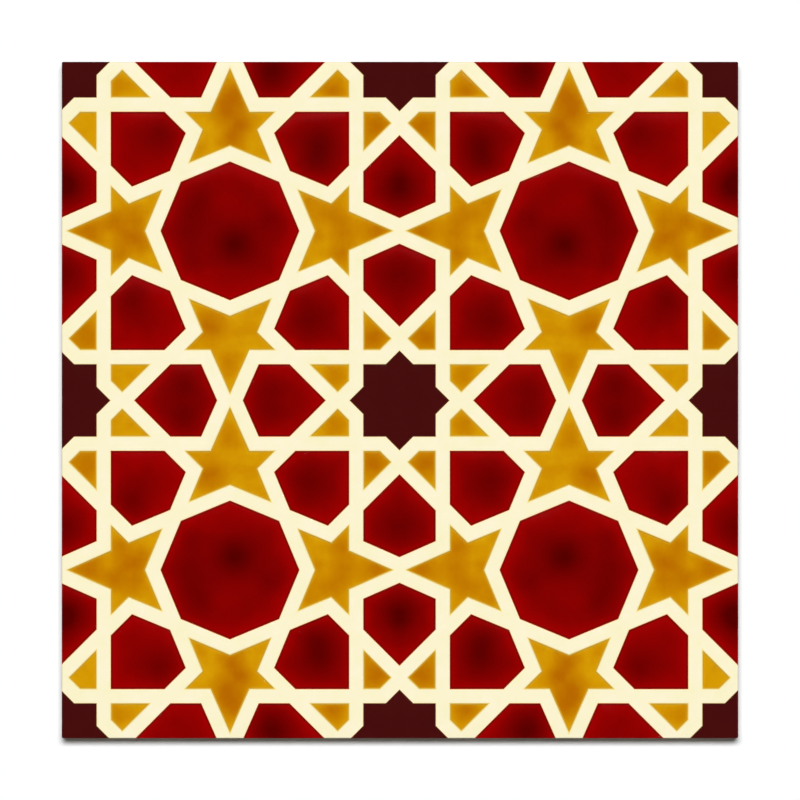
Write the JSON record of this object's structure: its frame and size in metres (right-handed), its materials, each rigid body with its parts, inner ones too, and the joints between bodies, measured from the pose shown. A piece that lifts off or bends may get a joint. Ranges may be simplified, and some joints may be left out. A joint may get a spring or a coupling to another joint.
{
  "type": "star pattern tile",
  "caption": "Square glazed ceramic wall tile whose face carries a traditional star and octagon strapwork in cream, crimson, gold and maroon; keyed flat back.",
  "frame": {"origin": "middle of the back, on the plane that the rim and ribs of the back rest on", "axes": "+Z straight out of the glazed face, +X to the right and +Y up as the picture shows the face"},
  "size_m": [0.108, 0.108, 0.006],
  "materials": {
    "glazed_face": "gloss glaze: cream straps between crimson, golden and maroon fields, over a pale body that is bare on the back"
  },
  "bodies": {
    "root": {"tile": "glazed_face"}
  },
  "joints": []
}
